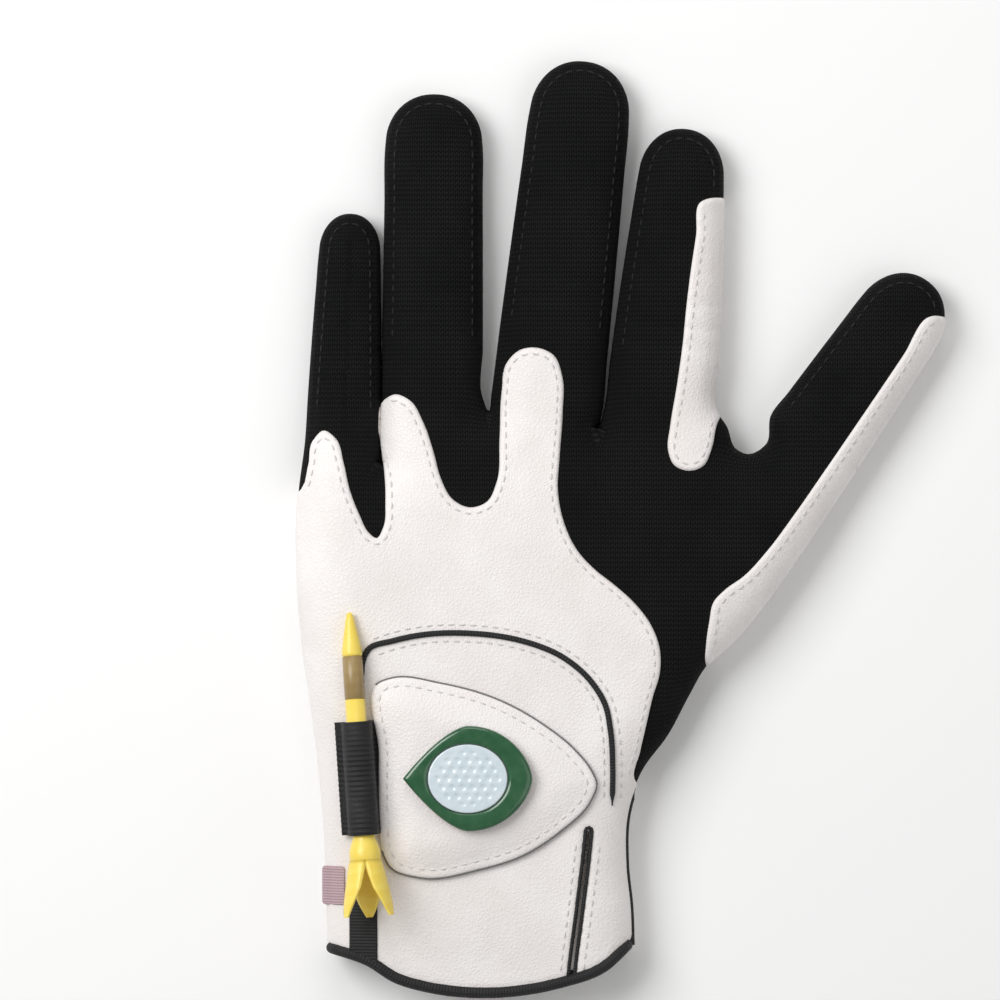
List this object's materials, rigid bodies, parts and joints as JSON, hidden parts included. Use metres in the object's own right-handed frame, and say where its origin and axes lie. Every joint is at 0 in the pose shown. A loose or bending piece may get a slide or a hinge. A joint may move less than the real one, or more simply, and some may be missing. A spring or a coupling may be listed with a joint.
{
  "type": "golf glove",
  "caption": "Left-hand golf glove with hollow hand and fingers, knuckles that bend, a closure tab that peels up, a magnetic ball marker and a tee held in an elastic loop.",
  "frame": {"origin": "the flat underside of the palm, under the middle of the hand", "axes": "+Y along the fingers, +X towards the thumb, +Z out of the back of the hand; the glove lies on its palm"},
  "size_m": [0.1493, 0.2151, 0.0296],
  "materials": {
    "white_leather": "thin full-grain sheepskin, matt",
    "black_knit": "stretch knit with a fine open weave",
    "black_binding": "folded elastic tape",
    "black_elastic": "ribbed woven elastic",
    "tab_leather": "smooth leather, matt",
    "hook_tape": "hook and loop tape",
    "marker_green": "glossy domed enamel",
    "marker_white": "satin dimpled plastic",
    "steel": "plain",
    "tee_yellow": "semi-matt",
    "tee_tan": "painted band",
    "tag_mauve": "woven tape"
  },
  "bodies": {
    "hand": {"palm_panel": "white_leather", "back_panel": "white_leather", "back_knit": "black_knit", "little_back_lower": "black_knit", "ring_back_lower": "black_knit", "middle_back_lower": "black_knit", "fourchette_little_ring": "black_knit", "fourchette_ring_middle": "black_knit", "fourchette_middle_index": "black_knit", "index_side_lower": "white_leather", "thumb_back_lower": "black_knit", "cuff_binding": "black_binding", "slit_binding": "black_binding", "back_piping": "black_binding", "wrist_elastic": "black_elastic", "loop_patch": "hook_tape", "tab_root": "tab_leather", "tee_loop": "black_elastic", "tee_strip": "black_binding", "side_tag": "tag_mauve"},
    "tab": {"closure_tab": "tab_leather", "hook_patch": "hook_tape", "marker_holder": "steel"},
    "marker": {"marker_rim": "marker_green", "marker_face": "marker_white", "marker_magnet": "steel"},
    "tee": {"golf_tee": "tee_yellow", "tee_band": "tee_tan"},
    "little_tip": {"little_front": "white_leather", "little_back": "black_knit", "little_sides": "black_knit"},
    "ring_tip": {"ring_front": "white_leather", "ring_back": "black_knit", "ring_sides": "black_knit"},
    "middle_tip": {"middle_front": "white_leather", "middle_back": "black_knit", "middle_sides": "black_knit"},
    "index_tip": {"index_front": "white_leather", "index_back": "black_knit", "index_sides": "black_knit", "index_side_upper": "white_leather"},
    "thumb_tip": {"thumb_front": "white_leather", "thumb_back": "black_knit", "thumb_sides": "black_knit"}
  },
  "joints": [
    {"name": "little_curl", "type": "hinge", "parent": "hand", "child": "little_tip", "pos_m": [-0.03109, 0.07398, 0.005], "axis": [-0.9994, 0.0349, 0], "range_deg": [-30, 80]},
    {"name": "ring_curl", "type": "hinge", "parent": "hand", "child": "ring_tip", "pos_m": [-0.01089, 0.09, 0.00575], "axis": [-1, 0.007, 0], "range_deg": [-30, 80]},
    {"name": "middle_curl", "type": "hinge", "parent": "hand", "child": "middle_tip", "pos_m": [0.01813, 0.093, 0.00575], "axis": [-0.9936, 0.1132, 0], "range_deg": [-30, 80]},
    {"name": "index_curl", "type": "hinge", "parent": "hand", "child": "index_tip", "pos_m": [0.04333, 0.08698, 0.00575], "axis": [-0.9959, 0.0906, 0], "range_deg": [-30, 80]},
    {"name": "thumb_curl", "type": "hinge", "parent": "hand", "child": "thumb_tip", "pos_m": [0.08279, 0.0677, 0.00625], "axis": [-0.8192, 0.5736, 0], "range_deg": [-30, 80]},
    {"name": "tab_peel", "type": "hinge", "parent": "hand", "child": "tab", "pos_m": [-0.0202, -0.018, 0.01945], "axis": [0, -1, 0], "range_deg": [0, 90]},
    {"name": "marker_lift", "type": "slide", "parent": "tab", "child": "marker", "axis": [0, 0, 1], "range_m": [0, 0.025]},
    {"name": "tee_pull", "type": "slide", "parent": "hand", "child": "tee", "axis": [0.0661, -0.9947, 0.0785], "range_m": [0, 0.075]}
  ]
}
